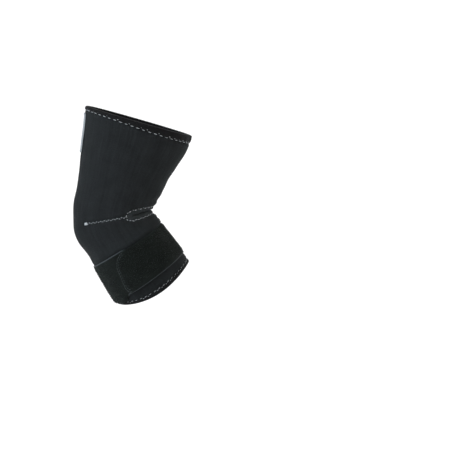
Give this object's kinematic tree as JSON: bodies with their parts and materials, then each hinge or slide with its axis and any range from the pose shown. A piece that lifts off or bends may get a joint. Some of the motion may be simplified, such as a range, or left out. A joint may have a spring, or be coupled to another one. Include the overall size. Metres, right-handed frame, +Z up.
{
  "type": "elbow brace",
  "caption": "Pull-on elbow sleeve of knit-faced foam rubber in its bent-arm form, with bound edges, a crook insert and a wrap-around forearm strap.",
  "frame": {"origin": "the elbow's centre, where the bent arm sits in the sleeve", "axes": "+Z up the upper arm, +X towards the crook of the elbow, -Y towards the outer side of the arm; the arm bends in the XZ plane"},
  "size_m": [0.1349, 0.1002, 0.2277],
  "materials": {
    "sleeve_knit": "black jersey knit over 2.8 mm foam rubber",
    "stretch_knit": "thin black stretch knit",
    "binding_tape": "black folded binding tape",
    "loop_pile": "brushed black loop pile on elastic",
    "hook_tape": "black moulded hook tape",
    "label_cloth": "light grey woven cloth, bare"
  },
  "bodies": {
    "root": {"sleeve": "sleeve_knit", "crook_panel": "stretch_knit", "top_binding": "binding_tape", "bottom_binding": "binding_tape", "strap": "loop_pile", "hook_tab": "hook_tape", "label_patch": "label_cloth"}
  },
  "joints": []
}
